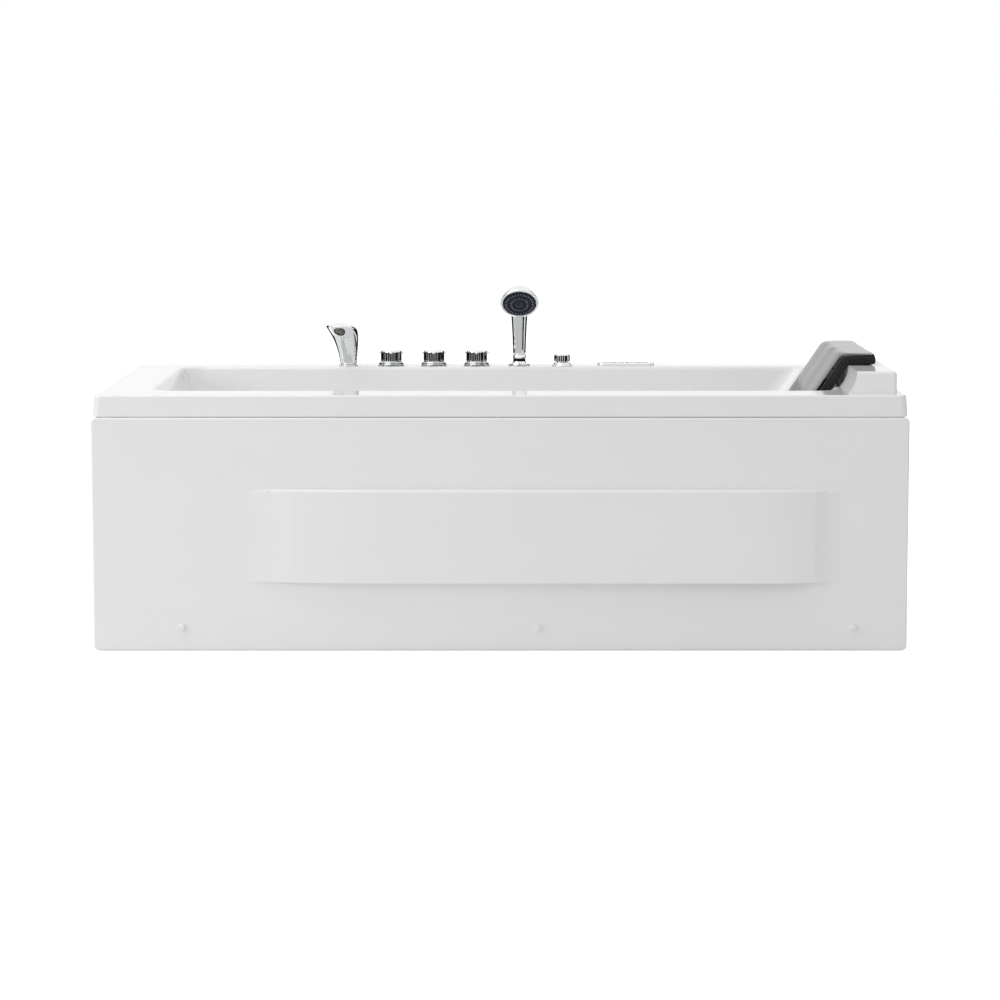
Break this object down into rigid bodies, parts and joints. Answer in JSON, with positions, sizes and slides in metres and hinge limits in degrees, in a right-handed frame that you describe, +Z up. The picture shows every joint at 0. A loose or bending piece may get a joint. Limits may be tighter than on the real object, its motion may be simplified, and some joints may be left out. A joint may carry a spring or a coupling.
{
  "type": "jetted bathtub",
  "caption": "Alcove jetted bathtub: glossy white shell with raised head end, front apron, pillow, deck taps, hand shower, jets and pump.",
  "frame": {"origin": "on the floor under the middle of the whole tub", "axes": "+X to the raised head end, -Y to the front apron, +Z up"},
  "size_m": [1.7, 0.823, 0.726],
  "materials": {
    "acrylic": "polished cast acrylic",
    "apron_acrylic": "polished cast acrylic",
    "cap_plastic": "moulded",
    "chrome": "polished plate",
    "galvanised": "zinc coated",
    "zinc": "zinc plated",
    "plywood": "raw",
    "pad_rubber": "moulded",
    "white_pvc": "extruded",
    "grey_pvc": "moulded",
    "black_nylon": "moulded",
    "motor_paint": "satin enamel",
    "rotor_steel": "ground",
    "brass": "turned",
    "spray_plastic": "moulded",
    "panel_plastic": "moulded",
    "button_plastic": "moulded",
    "pillow_foam": "soft integral-skin foam"
  },
  "bodies": {
    "tub": {"tub_shell": "acrylic", "front_apron": "apron_acrylic", "apron_screws": "zinc", "screw_caps": "cap_plastic", "apron_brackets": "galvanised", "front_rail": "galvanised", "rear_rail": "galvanised", "cross_rails": "galvanised", "corner_posts": "galvanised", "bearer_boards": "plywood", "foot_pads": "pad_rubber", "foot_bolts": "zinc", "foot_nuts": "zinc", "drain_flange": "chrome", "drain_body": "grey_pvc", "overflow_elbow": "grey_pvc", "overflow_pipe": "grey_pvc", "suction_body": "white_pvc", "suction_cover": "chrome", "suction_pipe": "white_pvc", "pump_volute": "black_nylon", "motor_housing": "motor_paint", "fan_cover": "motor_paint", "pump_saddle": "black_nylon", "switch_box": "black_nylon", "pump_unions": "black_nylon", "jet_bodies": "white_pvc", "jet_rings": "chrome", "water_pipes": "white_pvc", "air_pipes": "white_pvc", "deck_valves": "brass", "tap_rosettes": "chrome", "mixed_water_line": "brass", "deck_nuts": "brass", "spout": "chrome", "spout_aerator": "black_nylon", "shower_base": "chrome", "air_valve": "chrome", "control_panel": "panel_plastic"},
    "diverter_knob": {"diverter_knob": "chrome"},
    "hot_knob": {"hot_knob": "chrome"},
    "cold_knob": {"cold_knob": "chrome"},
    "air_knob": {"air_knob": "chrome"},
    "hand_shower": {"hand_shower": "chrome"},
    "spray_face": {"spray_face": "spray_plastic"},
    "pillow": {"pillow": "pillow_foam"},
    "overflow_knob": {"overflow_knob": "chrome"},
    "drain_plug": {"drain_plug": "chrome"},
    "pump_rotor": {"motor_rotor": "rotor_steel", "pump_impeller": "black_nylon", "motor_fan": "black_nylon"},
    "button_1": {"button_1": "button_plastic"},
    "button_2": {"button_2": "button_plastic"},
    "button_3": {"button_3": "button_plastic"},
    "jet_nozzle_1": {"jet_nozzle_1": "chrome"},
    "jet_nozzle_2": {"jet_nozzle_2": "chrome"},
    "jet_nozzle_3": {"jet_nozzle_3": "chrome"},
    "jet_nozzle_4": {"jet_nozzle_4": "chrome"},
    "jet_nozzle_5": {"jet_nozzle_5": "chrome"},
    "jet_nozzle_6": {"jet_nozzle_6": "chrome"}
  },
  "joints": [
    {"name": "diverter_turn", "type": "hinge", "parent": "tub", "child": "diverter_knob", "pos_m": [-0.2536, 0.3665, 0.537], "axis": [0, 0, 1], "range_deg": [0, 90]},
    {"name": "hot_turn", "type": "hinge", "parent": "tub", "child": "hot_knob", "pos_m": [-0.1542, 0.3665, 0.537], "axis": [0, 0, 1], "range_deg": [0, 90]},
    {"name": "cold_turn", "type": "hinge", "parent": "tub", "child": "cold_knob", "pos_m": [-0.0548, 0.3665, 0.537], "axis": [0, 0, 1], "range_deg": [-90, 0]},
    {"name": "air_turn", "type": "hinge", "parent": "tub", "child": "air_knob", "pos_m": [0.144, 0.3665, 0.537], "axis": [0, 0, 1], "range_deg": [0, 180]},
    {"name": "hand_shower_lift", "type": "slide", "parent": "tub", "child": "hand_shower", "axis": [0, 0, 1], "range_m": [0, 0.15]},
    {"name": "spray_turn", "type": "hinge", "parent": "hand_shower", "child": "spray_face", "pos_m": [0.0446, 0.3225, 0.683], "axis": [0, -0.7547, -0.6561], "range_deg": [0, 120]},
    {"name": "pillow_lift", "type": "slide", "parent": "tub", "child": "pillow", "axis": [0, 0, 1], "range_m": [0, 0.08]},
    {"name": "overflow_turn", "type": "hinge", "parent": "tub", "child": "overflow_knob", "pos_m": [-0.681, 0.033, 0.44], "axis": [0.866, 0, 0.5], "range_deg": [0, 90]},
    {"name": "plug_lift", "type": "slide", "parent": "tub", "child": "drain_plug", "axis": [0, 0, 1], "range_m": [0, 0.009]},
    {"name": "pump_spin", "type": "hinge", "parent": "tub", "child": "pump_rotor", "pos_m": [-0.715, 0.135, 0.188], "axis": [0, 1, 0], "continuous": true},
    {"name": "jet_swivel_1", "type": "hinge", "parent": "tub", "child": "jet_nozzle_1", "pos_m": [-0.25, 0.29681, 0.26144], "axis": [0, 0.1392, 0.9903], "range_deg": [-15, 15]},
    {"name": "jet_swivel_2", "type": "hinge", "parent": "tub", "child": "jet_nozzle_2", "pos_m": [0.05, 0.29681, 0.26144], "axis": [0, 0.1392, 0.9903], "range_deg": [-15, 15]},
    {"name": "jet_swivel_3", "type": "hinge", "parent": "tub", "child": "jet_nozzle_3", "pos_m": [0.35, 0.29681, 0.26144], "axis": [0, 0.1392, 0.9903], "range_deg": [-15, 15]},
    {"name": "jet_swivel_4", "type": "hinge", "parent": "tub", "child": "jet_nozzle_4", "pos_m": [-0.25, -0.23081, 0.26144], "axis": [0, -0.1392, 0.9903], "range_deg": [-15, 15]},
    {"name": "jet_swivel_5", "type": "hinge", "parent": "tub", "child": "jet_nozzle_5", "pos_m": [0.05, -0.23081, 0.26144], "axis": [0, -0.1392, 0.9903], "range_deg": [-15, 15]},
    {"name": "jet_swivel_6", "type": "hinge", "parent": "tub", "child": "jet_nozzle_6", "pos_m": [0.35, -0.23081, 0.26144], "axis": [0, -0.1392, 0.9903], "range_deg": [-15, 15]},
    {"name": "button_press_1", "type": "slide", "parent": "tub", "child": "button_1", "axis": [0, 0, -1], "range_m": [0, 0.0009], "stiffness_N_per_m": 400, "springref_m": -0.0005},
    {"name": "button_press_2", "type": "slide", "parent": "tub", "child": "button_2", "axis": [0, 0, -1], "range_m": [0, 0.0009], "stiffness_N_per_m": 400, "springref_m": -0.0005},
    {"name": "button_press_3", "type": "slide", "parent": "tub", "child": "button_3", "axis": [0, 0, -1], "range_m": [0, 0.0009], "stiffness_N_per_m": 400, "springref_m": -0.0005}
  ],
  "couplings": [
    {"joint": "plug_lift", "follows": "overflow_turn", "m_per_rad": 0.0057238}
  ]
}
